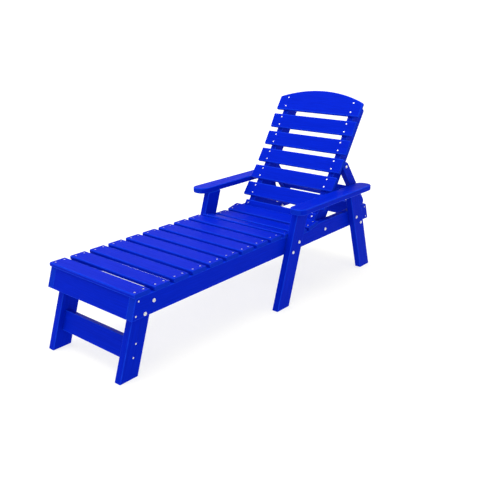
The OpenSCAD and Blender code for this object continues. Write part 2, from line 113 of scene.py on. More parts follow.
def colour(name, about, default):
    """A named colour."""
    return bpy.props.FloatVectorProperty(
        name=name, description=about, default=default, min=0, max=1, size=3, subtype="COLOR"
    )


class LoungeSizes(bpy.types.PropertyGroup):
    """Sizes that finish the boards and the fasteners."""

    slat_round: length("Slat edge", "Radius along both long edges of each slat", 5.5)
    slat_end_round: length("Slat end edge", "Radius around the sawn ends of the slats", 1.4)
    board_round: length("Board edge", "Radius on the edges of rails, legs and uprights", 3.2)
    arm_round: length("Arm edge", "Radius on the edges of the arm boards", 5)
    screw_sink: length("Screw sink", "How far the screw heads lie below the board's face", 0.4)
    screw_gap: length("Countersink gap", "Air around a screw head in its countersink", 0.45)
    washer: length("Washer", "Thickness of the washers under bolt heads and nuts", 1.3)
    thread_pitch: length("Thread pitch", "Distance from one thread to the next", 1.5)
    thread_depth: length("Thread depth", "Depth of the thread", 0.7)


class LoungeColours(bpy.types.PropertyGroup):
    """Colours of the boards, fasteners and stage."""

    board: colour("Board", "Through-colour of the boards", (0.0003, 0.015, 0.500))
    grain: colour("Grain", "Darker streaks of the moulded grain", (0.0002, 0.011, 0.400))
    # The Edge colour is a painted highlight: a lighter blue laid along the rounded edges of the boards,
    # where the light catches their curve.
    edge: colour("Edge", "Scuffed and polished edges", (0.005, 0.042, 0.620))
    sawn: colour("Sawn end", "Chalky sawn ends of the boards", (0.003, 0.027, 0.430))
    steel: colour("Steel", "Stainless fasteners", (0.76, 0.77, 0.79))
    floor: colour("Floor", "Plain pale floor", (0.37, 0.365, 0.32))


class LoungeStage(bpy.types.PropertyGroup):
    """Camera and lights."""

    azimuth: bpy.props.FloatProperty(
        name="Azimuth", description="Camera's turn about the chair", default=math.radians(40.342),
        subtype="ANGLE",
    )
    elevation: bpy.props.FloatProperty(
        name="Elevation", description="Camera's height angle", default=math.radians(18.897),
        subtype="ANGLE",
    )
    roll: bpy.props.FloatProperty(
        name="Roll", description="Camera's turn about its own view", default=math.radians(-0.322),
        subtype="ANGLE",
    )
    distance: bpy.props.FloatProperty(
        name="Distance", description="From the camera to the point it looks at", default=3.35,
        unit="LENGTH",
    )
    target: bpy.props.FloatVectorProperty(
        name="Looks at", description="Point that the camera looks at",
        default=(-0.0007, 0.0992, 0.2842), size=3, subtype="XYZ",
    )
    lens: bpy.props.FloatProperty(
        name="Lens", description="Focal length in millimetres on a 36 mm sensor", default=48.99
    )
    overhead: bpy.props.FloatProperty(
        name="Overhead light", description="Power of the overhead soft light, in watts", default=225
    )
    front: bpy.props.FloatProperty(
        name="Front light", description="Power of the soft light at the foot end", default=8
    )
    sky: bpy.props.FloatProperty(
        name="Sky", description="Strength of the plain white surroundings", default=0.30
    )
    floor_glow: bpy.props.FloatProperty(
        name="Floor glow", description="Strength of the lit floor under the chair", default=0.70
    )
    wall_glow: bpy.props.FloatProperty(
        name="Wall glow", description="Strength of the lit studio far from the chair", default=0.95
    )


def sizes():
    """The sizes in the sidebar."""
    return bpy.context.scene.lounge_sizes


def colours():
    """The colours in the sidebar."""
    return bpy.context.scene.lounge_colours


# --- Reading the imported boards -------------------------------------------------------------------


def packed(node):
    """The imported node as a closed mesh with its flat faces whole."""
    bm = bmesh.new()
    bm.from_mesh(frame["nodes"][node].data)
    bmesh.ops.remove_doubles(bm, verts=bm.verts, dist=MERGE)
    bm.normal_update()
    return bm


def broad_normal(bm):
    """Normal of the largest flat side of a board, pointing up or towards +X."""
    areas = []
    for face in bm.faces:
        for entry in areas:
            if abs(entry[0].dot(face.normal)) > FLAT:
                entry[1] += face.calc_area()
                break
        else:
            areas.append([face.normal.copy(), face.calc_area()])
    normal = max(areas, key=lambda entry: entry[1])[0]
    up = normal.z if abs(normal.z) > 0.05 else normal.x
    return normal if up > 0 else -normal


def side_loop(bm, direction):
    """Corners, in order, around the outermost flat side that faces direction."""
    reach = max(v.co.dot(direction) for v in bm.verts)
    side = {
        f for f in bm.faces
        if f.normal.dot(direction) > FLAT and abs(f.calc_center_median().dot(direction) - reach) < LEVEL
    }
    rim = [e for e in bm.edges if sum(f in side for f in e.link_faces) == 1]
    spare = {}
    for edge in rim:
        for vert in edge.verts:
            spare.setdefault(vert, set()).add(edge)
    loops = []
    for start in spare:
        while spare[start]:
            loop = [start.co.copy()]
            vert = start
            while spare[vert]:
                edge = spare[vert].pop()
                vert = edge.other_vert(vert)
                spare[vert].discard(edge)
                loop.append(vert.co.copy())
            loops.append(loop[:-1])
    if not loops:
        raise RuntimeError("a packed board has no flat side that faces the given way")
    return max(loops, key=lambda loop: sum((a - b).length for a, b in zip(loop, loop[1:] + loop[:1])))


def straightened(loop, direction):
    """The loop without corners on straight runs, turning the right way about direction."""
    kept = []
    count = len(loop)
    for i, corner in enumerate(loop):
        a = (corner - loop[i - 1]).normalized()
        b = (loop[(i + 1) % count] - corner).normalized()
        if a.dot(b) < math.cos(math.radians(STRAIGHT_TURN)):
            kept.append(corner)
    turn = Vector()
    for a, b in zip(kept, kept[1:] + kept[:1]):
        turn += a.cross(b)
    return kept if turn.dot(direction) > 0 else kept[::-1]


class Board:
    """A packed board's own directions: along its length, across its width and out of its face."""

    def __init__(self, node, normal=None):
        bm = packed(node)
        self.node = node
        self.normal = normal or broad_normal(bm)
        loop = straightened(side_loop(bm, self.normal), self.normal)
        longest = max(zip(loop, loop[1:] + loop[:1]), key=lambda pair: (pair[1] - pair[0]).length)
        self.along = (longest[1] - longest[0]).normalized()
        if self.along.x + self.along.y + self.along.z < 0:
            self.along.negate()
        self.across = self.normal.cross(self.along)
        self.loop = loop
        places = np.array([v.co[:] for v in bm.verts])
        bm.free()
        axes = np.array([self.along[:], self.across[:], self.normal[:]])
        local = places @ axes.T
        low, high = local.min(0), local.max(0)
        self.half = (high - low) / 2
        self.axes = axes
        self.centre = Vector(((high + low) / 2) @ axes)

    def point(self, along, across, out):
        """A point in the board's own directions, from its centre."""
        return self.centre + self.along * along + self.across * across + self.normal * out

    def section_distance(self, place):
        """How far a point lies from the board's centre line, across and out."""
        away = place - self.centre
        return abs(away.dot(self.across)) + abs(away.dot(self.normal))

    def holds(self, place, reach=1.5 * MM):
        """True if a point lies in the board, or within reach of it."""
        local = self.axes @ np.array((place - self.centre)[:])
        return bool((abs(local) < self.half + reach).all())


# --- Making boards ---------------------------------------------------------------------------------


def prism(loop, direction, depth):
    """A closed board with the loop as its front and the given depth behind it."""
    bm = bmesh.new()
    bm.faces.layers.float.new("rim")
    bm.faces.layers.float.new("cut")
    front = [bm.verts.new(p) for p in loop]
    back = [bm.verts.new(p - direction * depth) for p in loop]
    bm.faces.new(front)
    bm.faces.new(back[::-1])
    count = len(loop)
    for i in range(count):
        j = (i + 1) % count
        bm.faces.new((front[j], front[i], back[i], back[j]))
    bm.normal_update()
    return bm


def ease(bm, radius, segments, wanted=None):
    """Rounds the sharp edges, or those that wanted() picks, and marks the new faces as rim."""
    edges = [
        e for e in bm.edges
        if len(e.link_faces) == 2 and e.calc_face_angle(0) > math.radians(SOFT_TURN)
        and (wanted is None or wanted(e))
    ]
    made = bmesh.ops.bevel(
        bm, geom=edges, offset=radius, offset_type="OFFSET", segments=segments, profile=0.5,
        affect="EDGES", clamp_overlap=True,
    )
    rim = bm.faces.layers.float["rim"]
    for face in made["faces"]:
        face[rim] = 1.0
    bm.normal_update()


def mark_cuts(bm, along):
    """Marks the sawn ends."""
    cut = bm.faces.layers.float["cut"]
    rim = bm.faces.layers.float["rim"]
    for face in bm.faces:
        if face[rim] < 0.5 and abs(face.normal.dot(along)) > 0.8:
            face[cut] = 1.0


def runs_along(edge, along):
    """True if an edge runs along the board."""
    return abs((edge.verts[0].co - edge.verts[1].co).normalized().dot(along)) > 0.9


def rounded_plank(board, radius, end_radius):
    """A straight plank with round long edges and eased sawn ends."""
    half = board.half
    loop = [
        board.point(s, t, half[2])
        for s, t in ((-half[0], -half[1]), (half[0], -half[1]), (half[0], half[1]), (-half[0], half[1]))
    ]
    bm = prism(straightened(loop, board.normal), board.normal, 2 * half[2])
    along = board.along
    ease(bm, radius, LONG_SEGMENTS, lambda e: runs_along(e, along))
    ease(bm, end_radius, END_SEGMENTS)
    mark_cuts(bm, along)
    return bm


def shaped_board(board, radius, segments=4, loop=None):
    """A board sawn to its packed outline, with eased edges."""
    depth = 2 * board.half[2]
    bm = prism(loop or board.loop, board.normal, depth)
    ease(bm, radius, segments)
    mark_cuts(bm, board.along)
    return bm


def mesh_of(bm, name):
    """The finished mesh of a bmesh, which is freed."""
    mesh = bpy.data.meshes.new(name)
    bm.to_mesh(mesh)
    bm.free()
    return mesh


def carved(mesh, cutters):
    """The mesh with one closed cutter mesh taken out of it."""
    work = bpy.data.objects.new("work", mesh)
    tool = bpy.data.objects.new("tool", cutters)
    for obj in (work, tool):
        bpy.context.scene.collection.objects.link(obj)
    modifier = work.modifiers.new("carve", "BOOLEAN")
    modifier.operation = "DIFFERENCE"
    modifier.solver = "EXACT"
    modifier.object = tool
    bpy.context.view_layer.update()
    graph = bpy.context.evaluated_depsgraph_get()
    made = bpy.data.meshes.new_from_object(work.evaluated_get(graph))
    made.name = mesh.name
    for obj in (work, tool):
        bpy.data.objects.remove(obj)
    bpy.data.meshes.remove(mesh)
    bpy.data.meshes.remove(cutters)
    if len(made.polygons) < 6:
        raise RuntimeError(f"carving {made.name} left nothing")
    return made


def grain_offset(name):
    """A different stretch of grain for each piece, the same on every run."""
    draw = random.Random(f"{GRAIN_SEED}:{name}")
    return np.array([draw.uniform(-9, 9) for _ in range(3)])


def finish_piece(mesh, node, material, axes=None, centre=None):
    """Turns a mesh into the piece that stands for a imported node."""
    count = len(mesh.vertices)
    places = np.empty(count * 3, np.float32)
    mesh.vertices.foreach_get("co", places)
    places = places.reshape(-1, 3)
    if axes is None:
        axes = np.eye(3)
        centre = (0, 0, 0)
    lay = (places - np.array(centre[:])) @ np.array(axes).T + grain_offset(node)
    attribute = mesh.attributes.new("lay", "FLOAT_VECTOR", "POINT")
    attribute.data.foreach_set("vector", lay.astype(np.float32).ravel())
    mesh.materials.clear()
    mesh.materials.append(material)
    mesh.polygons.foreach_set("material_index", [0] * len(mesh.polygons))
    mesh.shade_smooth()
    mesh.set_sharp_from_angle(angle=math.radians(SHARP_TURN))
    piece = bpy.data.objects.new(f"{node}_finished", mesh)
    bpy.context.scene.collection.objects.link(piece)
    weigh = piece.modifiers.new("flat_faces", "WEIGHTED_NORMAL")
    weigh.keep_sharp = True
    weigh.weight = FACE_WEIGHT
    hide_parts(node)
    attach(piece, frame["nodes"][node]["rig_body"])
    return piece


# --- Turned parts ------------------------------------------------------------------------------------


def round_shape(angle):
    """Plain circle."""
    return 1.0


def star_shape(angle):
    """Six-lobed driver recess."""
    return 1.0 + 0.13 * math.cos(6 * angle)


def hex_shape(angle):
    """Hexagon with slightly clipped corners, 1 across the corners."""
    turn = (angle + math.pi / 6) % (math.pi / 3) - math.pi / 6
    return min(0.985, math.cos(math.pi / 6) / math.cos(math.pi / 6 - abs(turn)))


def turn(bm, rings, origin, axis, closed=False):
    """A turned part: rings are (radius, height, shape) from its top centre to its bottom centre.

    A closed part, such as a nut, joins its last ring to its first and has no caps.
    """
    side = axis.orthogonal().normalized()
    other = axis.cross(side)
    made = []
    for radius, height, shape in rings:
        ring = []
        for i in range(RING):
            angle = 2 * math.pi * i / RING
            r = radius * shape(angle)
            ring.append(
                bm.verts.new(
                    origin + axis * height + side * (r * math.cos(angle)) + other * (r * math.sin(angle))
                )
            )
        made.append(ring)
    pairs = list(zip(made, made[1:]))
    if closed:
        pairs.append((made[-1], made[0]))
    else:
        bm.faces.new(made[0])
        bm.faces.new(made[-1][::-1])
    for upper, lower in pairs:
        for i in range(RING):
            j = (i + 1) % RING
            bm.faces.new((upper[j], upper[i], lower[i], lower[j]))


def islands(node):
    """The corners of each separate solid in a node."""
    bm = packed(node)
    left = set(bm.verts)
    found = []
    while left:
        group = []
        stack = [left.pop()]
        while stack:
            vert = stack.pop()
            group.append(vert.co.copy())
            for edge in vert.link_edges:
                following = edge.other_vert(vert)
                if following in left:
                    left.discard(following)
                    stack.append(following)
        found.append(group)
    bm.free()
    return sorted(found, key=lambda group: tuple(round(c, 5) for c in sum(group, Vector()) / len(group)))


class Rod:
    """A packed screw, bolt, nut, plug or spacer, lying along a known axis."""

    def __init__(self, corners, axis):
        heights = [c.dot(axis) for c in corners]
        self.top, self.foot = max(heights), min(heights)
        flat = [c - axis * c.dot(axis) for c in corners]
        low = Vector(min(c[i] for c in flat) for i in range(3))
        high = Vector(max(c[i] for c in flat) for i in range(3))
        middle = (low + high) / 2
        self.middle = middle - axis * middle.dot(axis)
        self.radius = max((c - self.middle).length for c in flat)
        near_foot = [f for f, h in zip(flat, heights) if h < self.foot + LEVEL]
        self.foot_radius = max((c - self.middle).length for c in near_foot)
        near_top = [f for f, h in zip(flat, heights) if h > self.top - LEVEL]
        self.top_radius = max((c - self.middle).length for c in near_top)
        self.axis = axis
        self.corners = corners

    def at(self, height):
        """The point on the rod's axis at a height along it."""
        return self.middle + self.axis * height

    def facing_out(self):
        """The same rod with its axis pointing from the shank to the head."""
        if self.top_radius >= self.foot_radius:
            return self
        return Rod(self.corners, -self.axis)


def rods(node, axis=AXIS_X):
    """The rods of a node, each with its axis pointing from the shank to the head."""
    return [Rod(corners, axis).facing_out() for corners in islands(node)]


def slat_rods(node, boards):
    """Screws that stand square to the slat that they hold."""
    found = []
    for corners in islands(node):
        centre = sum(corners, Vector()) / len(corners)
        nearest = min(boards, key=lambda b: b.section_distance(centre))
        found.append(Rod(corners, nearest.normal).facing_out())
    return found


def countersinks(found, deep=3.2 * MM):
    """One cutter mesh with a countersink for each rod."""
    gap = sizes().screw_gap
    bm = bmesh.new()
    for rod in found:
        reach = rod.radius + gap
        rings = [
            (reach, OVER, round_shape),
            (reach, -0.9 * MM, round_shape),
            (reach * 0.55, -deep, round_shape),
        ]
        turn(bm, rings, rod.at(rod.top), rod.axis)
    bmesh.ops.recalc_face_normals(bm, faces=bm.faces)
    return mesh_of(bm, "countersinks")


def carve_screws(mesh, board, found):
    """Takes the countersinks of the screws whose heads lie in the board out of its mesh."""
    mine = [rod for rod in found if board.holds(rod.at(rod.top - HEAD_DEPTH))]
    return carved(mesh, countersinks(mine)) if mine else mesh


def turn_screw(bm, rod):
    """Flat-headed screw with a six-lobed recess, a conical seat and a pointed shank."""
    head = rod.radius
    shank = rod.foot_radius
    top = rod.top - sizes().screw_sink
    rings = [
        (0.30 * head, -2.0 * MM, star_shape),
        (0.40 * head, -1.9 * MM, star_shape),
        (0.43 * head, -0.12 * MM, star_shape),
        (0.48 * head, 0.0, round_shape),
        (0.80 * head, -0.05 * MM, round_shape),
        (0.95 * head, -0.20 * MM, round_shape),
        (0.99 * head, -0.50 * MM, round_shape),
        (0.95 * head, -0.75 * MM, round_shape),
        (shank, -3.0 * MM, round_shape),
    ]
    foot = rod.foot - top
    tip = 6 * MM
    rings += [(shank, foot + tip, round_shape), (0.12 * shank, foot, round_shape)]
    turn(bm, rings, rod.at(top), rod.axis)


def turn_bolt(bm, rod, head_height=4.5 * MM):
    """Low domed bolt head with a hexagon socket, on a washer, with a threaded end."""
    size = sizes()
    r = rod.radius
    seat = -head_height
    rings = [
        (0.30 * r, -2.6 * MM, hex_shape),
        (0.37 * r, -2.5 * MM, hex_shape),
        (0.38 * r, -0.25 * MM, hex_shape),
        (0.42 * r, 0.0, round_shape),
        (0.56 * r, -0.18 * MM, round_shape),
        (0.66 * r, -0.75 * MM, round_shape),
        (0.74 * r, -1.6 * MM, round_shape),
        (0.77 * r, -2.5 * MM, round_shape),
        (0.77 * r, seat + size.washer, round_shape),
        (0.88 * r, seat + size.washer, round_shape),
        (0.91 * r, seat + size.washer - 0.25 * MM, round_shape),
        (0.91 * r, seat + 0.15 * MM, round_shape),
        (0.88 * r, seat, round_shape),
        (rod.foot_radius, seat, round_shape),
    ]
    foot = rod.foot - rod.top
    height = foot + 12 * size.thread_pitch
    while height > foot + 1.6 * size.thread_pitch:
        rings.append((rod.foot_radius, height, round_shape))
        rings.append((rod.foot_radius - size.thread_depth, height - size.thread_pitch / 2, round_shape))
        height -= size.thread_pitch
    rings.append((rod.foot_radius, height, round_shape))
    rings.append((0.75 * rod.foot_radius, foot, round_shape))
    turn(bm, rings, rod.at(rod.top), rod.axis)


def turn_nut(bm, rod, bore):
    """Locking nut on a washer; its collar points away from the board."""
    size = sizes()
    tall = rod.top - rod.foot
    corner = rod.radius
    rings = [
        (bore, tall, round_shape),
        (0.60 * corner, tall, round_shape),
        (0.68 * corner, tall - 0.7 * MM, round_shape),
        (0.70 * corner, tall - 2.0 * MM, round_shape),
        (0.84 * corner, tall - 2.1 * MM, round_shape),
        (corner, tall - 2.9 * MM, hex_shape),
        (corner, size.washer + 0.5 * MM, hex_shape),
        (0.84 * corner, size.washer, round_shape),
        (0.97 * corner, size.washer, round_shape),
        (corner * 0.99, size.washer - 0.3 * MM, round_shape),
        (corner * 0.99, 0.1 * MM, round_shape),
        (0.96 * corner, 0.0, round_shape),
        (bore, 0.0, round_shape),
    ]
    turn(bm, rings, rod.at(rod.foot), rod.axis, closed=True)


def turn_spacer(bm, rod, bore):
    """Spacer washer with eased rims."""
    tall = rod.top - rod.foot
    lip = min(0.5 * MM, tall / 4)
    r = rod.radius
    rings = [
        (bore, tall - lip, round_shape),
        (bore + lip, tall, round_shape),
        (r - lip, tall, round_shape),
        (r, tall - lip, round_shape),
        (r, lip, round_shape),
        (r - lip, 0.0, round_shape),
        (bore + lip, 0.0, round_shape),
        (bore, lip, round_shape),
    ]
    turn(bm, rings, rod.at(rod.foot), rod.axis, closed=True)


def turn_plug(bm, rod):
    """Board-coloured plug, a little below the arm's face, with an eased rim."""
    tall = rod.top - rod.foot
    r = rod.radius
    rings = [
        (0.40 * r, tall - 0.10 * MM, round_shape),
        (0.80 * r, tall - 0.12 * MM, round_shape),
        (0.95 * r, tall - 0.35 * MM, round_shape),
        (r, tall - 0.9 * MM, round_shape),
        (r, 0.0, round_shape),
    ]
    turn(bm, rings, rod.at(rod.foot), rod.axis)


def turned_piece(node, found, make, material=None):
    """One piece holding every turned part of a node."""
    bm = bmesh.new()
    for rod in found:
        make(bm, rod)
    bmesh.ops.recalc_face_normals(bm, faces=bm.faces)
    if not found:
        raise RuntimeError(f"{node} holds no separate parts")
    mesh = mesh_of(bm, node)
    return finish_piece(mesh, node, material or steel_material())


# What each node of nuts or spacers sits on, and how it is turned.
BOLTED = {
    "leg_nuts": ("leg_bolts", turn_nut),
    "back_pivot_nuts": ("back_pivot_bolts", turn_nut),
    "prop_pivot_nuts": ("prop_pivot_bolts", turn_nut),
    "back_pivot_spacers": ("back_pivot_bolts", turn_spacer),
    "prop_pivot_spacers": ("prop_pivot_bolts", turn_spacer),
}


# --- Materials ----------------------------------------------------------------------------------------


class Nodes:
    """Short ways to add and join shader nodes."""

    def __init__(self, name):
        self.material = bpy.data.materials.new(name)
        self.material.use_nodes = True
        self.tree = self.material.node_tree
        self.tree.nodes.clear()
        self.out = self.add("ShaderNodeOutputMaterial")
        self.shader = self.add("ShaderNodeBsdfPrincipled")
        self.join(self.shader.outputs["BSDF"], self.out.inputs["Surface"])

    def add(self, kind, **values):
        """A new node with the given settings."""
        node = self.tree.nodes.new(kind)
        for key, value in values.items():
            setattr(node, key, value)
        return node

    def join(self, source, target):
        """Links an output to an input."""
        self.tree.links.new(source, target)

    def attribute(self, name):
        """A value stored on the mesh."""
        return self.add("ShaderNodeAttribute", attribute_name=name)

    def stretched(self, source, scale):
        """Coordinates scaled by a different amount along, across and out."""
        node = self.add("ShaderNodeVectorMath", operation="MULTIPLY")
        node.inputs[1].default_value = scale
        self.join(source, node.inputs[0])
        return node.outputs[0]

    def noise(self, source, scale, detail=3.0, rough=0.55):
        """Noise from 0 to 1."""
        node = self.add("ShaderNodeTexNoise")
        node.inputs["Scale"].default_value = scale
        node.inputs["Detail"].default_value = detail
        node.inputs["Roughness"].default_value = rough
        self.join(source, node.inputs["Vector"])
        return node.outputs["Fac"]

    def spread(self, source, low, high, to_low=0.0, to_high=1.0):
        """A value's range from low to high, spread over another range."""
        node = self.add("ShaderNodeMapRange")
        for key, value in (("From Min", low), ("From Max", high), ("To Min", to_low), ("To Max", to_high)):
            node.inputs[key].default_value = value
        self.join(source, node.inputs["Value"])
        return node.outputs["Result"]

    def sum(self, *terms):
        """Sum of (source, weight) terms."""
        total = None
        for source, weight in terms:
            node = self.add("ShaderNodeMath", operation="MULTIPLY_ADD")
            self.join(source, node.inputs[0])
            node.inputs[1].default_value = weight
            node.inputs[2].default_value = 0.0
            if total is not None:
                self.join(total, node.inputs[2])
            total = node.outputs[0]
        return total

    def product(self, a, b):
        """Product of a socket and a socket or plain number."""
        node = self.add("ShaderNodeMath", operation="MULTIPLY")
        self.join(a, node.inputs[0])
        if isinstance(b, float):
            node.inputs[1].default_value = b
        else:
            self.join(b, node.inputs[1])
        return node.outputs[0]

    def mixed(self, factor, a, b):
        """Mix of two colours, each a socket or a plain colour."""
        node = self.add("ShaderNodeMix", data_type="RGBA")
        self.join(factor, node.inputs["Factor"])
        for socket, value in ((node.inputs[6], a), (node.inputs[7], b)):
            if isinstance(value, bpy.types.NodeSocket):
                self.join(value, socket)
            else:
                socket.default_value = (*value, 1.0)
        return node.outputs[2]

    def bump(self, height, strength, distance):
        """Relief on the surface."""
        node = self.add("ShaderNodeBump")
        node.inputs["Strength"].default_value = strength
        node.inputs["Distance"].default_value = distance
        self.join(height, node.inputs["Height"])
        self.join(node.outputs["Normal"], self.shader.inputs["Normal"])

    def fixed(self, **values):
        """Plain values on the shader's own sockets."""
        for key, value in values.items():
            self.shader.inputs[key.replace("_", " ")].default_value = value


def board_material():
    """Royal blue plastic board: moulded grain, soft sheen, a painted highlight on the rounded edges and
    chalky sawn ends.
    """
    name = "royal_blue_board"
    if name in bpy.data.materials:
        return bpy.data.materials[name]
    tone = colours()
    n = Nodes(name)
    lay = n.attribute("lay").outputs["Vector"]
    rim = n.attribute("rim").outputs["Fac"]
    cut = n.attribute("cut").outputs["Fac"]
    streaks = n.noise(n.stretched(lay, (7, 260, 260)), 1.0, 5.0, 0.62)
    hairs = n.noise(n.stretched(lay, (22, 1100, 1100)), 1.0, 3.0, 0.6)
    clouds = n.noise(n.stretched(lay, (5, 14, 14)), 1.0, 2.0, 0.5)
    speckle = n.noise(lay, 1500.0, 2.0, 0.7)
    # Noise that breaks the painted edge highlight into patches.
    highlight_patches = n.noise(n.stretched(lay, (60, 190, 190)), 1.0, 4.0, 0.7)

    body = n.mixed(n.spread(streaks, 0.38, 0.66), tone.grain[:], tone.board[:])
    body = n.mixed(n.spread(clouds, 0.30, 0.75, 0.0, 0.35), body, tone.grain[:])
    # Painted highlight: the Edge colour is laid in patches on the rounded rim faces, standing in for the
    # light catching the rounded edges.
    painted_highlight_mask = n.product(rim, n.spread(highlight_patches, 0.30, 0.70, 0.25, 0.95))
    body = n.mixed(painted_highlight_mask, body, tone.edge[:])
    chalk = n.product(cut, n.spread(speckle, 0.35, 0.65, 0.35, 1.0))
    body = n.mixed(chalk, body, tone.sawn[:])
    n.join(body, n.shader.inputs["Base Color"])

    rough = n.sum((n.spread(streaks, 0.3, 0.7, 0.50, 0.40), 1.0), (cut, 0.22), (painted_highlight_mask, -0.08))
    n.join(rough, n.shader.inputs["Roughness"])
    height = n.sum((streaks, 0.55), (hairs, 0.30), (speckle, 0.15))
    n.bump(height, 0.35, 0.00035)
    n.fixed(Metallic=0.0, IOR=1.49, Specular_IOR_Level=0.012)
    return n.material


def steel_material():
    """Stainless steel with a fine drawn finish."""
    name = "stainless_steel"
    if name in bpy.data.materials:
        return bpy.data.materials[name]
    n = Nodes(name)
    lay = n.attribute("lay").outputs["Vector"]
    drawn = n.noise(n.stretched(lay, (900, 2600, 2600)), 1.0, 2.0, 0.5)
    clouds = n.noise(lay, 240.0, 2.0, 0.5)
    steel = colours().steel[:]
    dull = tuple(0.72 * c for c in steel)
    n.join(n.mixed(n.spread(clouds, 0.35, 0.75, 0.0, 0.6), steel, dull), n.shader.inputs["Base Color"])
    n.join(n.spread(drawn, 0.3, 0.7, 0.22, 0.38), n.shader.inputs["Roughness"])
    n.bump(drawn, 0.2, 0.00008)
    n.fixed(Metallic=1.0)
    return n.material


def floor_material():
    """Plain pale studio floor, softly lit."""
    n = Nodes("pale_floor")
    place = n.add("ShaderNodeTexCoord").outputs["Object"]
    faint = n.noise(place, 2.0, 2.0, 0.5)
    tone = colours().floor[:]
    n.join(
        n.mixed(n.spread(faint, 0.3, 0.7), tone, tuple(0.97 * c for c in tone)),
        n.shader.inputs["Base Color"],
    )
    n.fixed(Roughness=0.9, Specular_IOR_Level=0.0)
    n.shader.inputs["Emission Color"].default_value = (1, 1, 1, 1)
    far = n.add("ShaderNodeVectorMath", operation="LENGTH")
    n.join(place, far.inputs[0])
    stage = bpy.context.scene.lounge_stage
    glow = n.spread(far.outputs["Value"], 1.4, 4.5, stage.floor_glow, stage.wall_glow)
    n.join(glow, n.shader.inputs["Emission Strength"])
    return n.material


# --- Operators, one for each group of like pieces ------------------------------------------------------


def board_piece(board, mesh):
    """The piece for a board, with its grain along the board."""
    return finish_piece(mesh, board.node, board_material(), board.axes, board.centre)


class LOUNGE_OT_rails(bpy.types.Operator):
    """Side rails with the dip for the seat and the shallow notches for the prop's feet"""

    bl_idname = "lounge.rails"
    bl_label = "Side Rails"

    def execute(self, context):
        size = sizes()
        screws = rods("frame_screws")
        for side in SIDES:
            board = Board(f"rail_{side}", AXIS_X)
            top = max(p.z for p in board.loop)
            notches = [p for p in board.loop if self.in_notch(p, top)]
            plain = [p for p in board.loop if p not in notches]
            bm = shaped_board(board, size.board_round, loop=straightened(plain, board.normal))
            mesh = mesh_of(bm, board.node)
            mesh = carved(mesh, self.notch_cutters(board, notches, top))
            mesh = carve_screws(mesh, board, screws)
            board_piece(board, mesh)
        return {"FINISHED"}

    def in_notch(self, corner, top):
        """True for a corner a little below the rail's top: the seat's dip is much deeper."""
        return top - 5 * MM < corner.z < top - 0.02 * MM

    def notch_cutters(self, board, corners, top):
        """Round cutters across the rail, one for each notch."""
        apart = 30 * MM
        groups = []
        for corner in sorted(corners, key=lambda p: p.y):
            if groups and corner.y - groups[-1][-1].y < apart:
                groups[-1].append(corner)
            else:
                groups.append([corner])
        bm = bmesh.new()
        wide = 2 * (board.half[2] + OVER)
        for group in groups:
            middle = (group[0].y + group[-1].y) / 2
            deep = top - min(p.z for p in group)
            edge = group[-1]
            across, down = edge.y - middle, edge.z - (top - deep)
            radius = (across ** 2 + down ** 2) / (2 * down)
            centre = Vector((board.centre.x - wide / 2, middle, top - deep + radius))
            rings = [(radius, 0.0, round_shape), (radius, wide, round_shape)]
            turn(bm, rings, centre, AXIS_X)
        bmesh.ops.recalc_face_normals(bm, faces=bm.faces)
        return mesh_of(bm, "notches")


class LOUNGE_OT_cross_boards(bpy.types.Operator):
    """Aprons at both ends and the stretcher between the foot legs"""

    bl_idname = "lounge.cross_boards"
    bl_label = "Aprons and Stretcher"

    def execute(self, context):
        size = sizes()
        for node in ("foot_apron", "head_apron"):
            mesh = mesh_of(shaped_board(Board(node, AXIS_X), size.board_round), node)
            board_piece(Board(node), mesh)
        board = Board("foot_stretcher")
        bm = rounded_plank(board, size.board_round, size.slat_end_round)
        board_piece(board, mesh_of(bm, board.node))
        return {"FINISHED"}


class LOUNGE_OT_legs(bpy.types.Operator):
    """Splayed foot legs, arm posts and head legs"""

    bl_idname = "lounge.legs"
    bl_label = "Legs and Posts"

    def execute(self, context):
        size = sizes()
        screws = rods("frame_screws")
        for kind in ("foot_leg", "front_post", "head_leg"):
            for side in SIDES:
                board = Board(f"{kind}_{side}", AXIS_X)
                mesh = mesh_of(shaped_board(board, size.board_round), board.node)
                if kind == "foot_leg":
                    mesh = carve_screws(mesh, board, screws)
                board_piece(board, mesh)
        return {"FINISHED"}


class LOUNGE_OT_arms(bpy.types.Operator):
    """Flat arm boards with round ends and well rounded edges"""

    bl_idname = "lounge.arms"
    bl_label = "Arms"

    def execute(self, context):
        plugs = [Rod(corners, AXIS_Z) for corners in islands("arm_plugs")]
        for side in SIDES:
            board = Board(f"arm_{side}", AXIS_Z)
            mesh = mesh_of(shaped_board(board, sizes().arm_round, ARM_SEGMENTS), board.node)
            mine = [rod for rod in plugs if board.holds(rod.at(rod.top - HEAD_DEPTH))]
            mesh = carved(mesh, self.bores(mine))
            board_piece(board, mesh)
        return {"FINISHED"}

    def bores(self, found):
        """Cutters for the plugged screw bores."""
        bm = bmesh.new()
        for rod in found:
            reach = rod.radius + 0.12 * MM
            rings = [(reach, OVER, round_shape), (reach, rod.foot - rod.top, round_shape)]
            turn(bm, rings, rod.at(rod.top), rod.axis)
        bmesh.ops.recalc_face_normals(bm, faces=bm.faces)
        return mesh_of(bm, "bores")


class LOUNGE_OT_seat_slats(bpy.types.Operator):
    """Seat slats, level along the seat and dipping before the back"""

    bl_idname = "lounge.seat_slats"
    bl_label = "Seat Slats"

    def execute(self, context):
        size = sizes()
        boards = [Board(node) for node in SEAT_SLATS]
        screws = slat_rods("seat_screws", boards)
        for board in boards:
            bm = rounded_plank(board, size.slat_round, size.slat_end_round)
            mesh = carve_screws(mesh_of(bm, board.node), board, screws)
            board_piece(board, mesh)
        return {"FINISHED"}


class LOUNGE_OT_uprights(bpy.types.Operator):
    """Hollowed uprights of the back"""

    bl_idname = "lounge.uprights"
    bl_label = "Back Uprights"

    def execute(self, context):
        for side in SIDES:
            board = Board(f"upright_{side}", AXIS_X)
            board_piece(board, mesh_of(shaped_board(board, sizes().board_round), board.node))
        return {"FINISHED"}


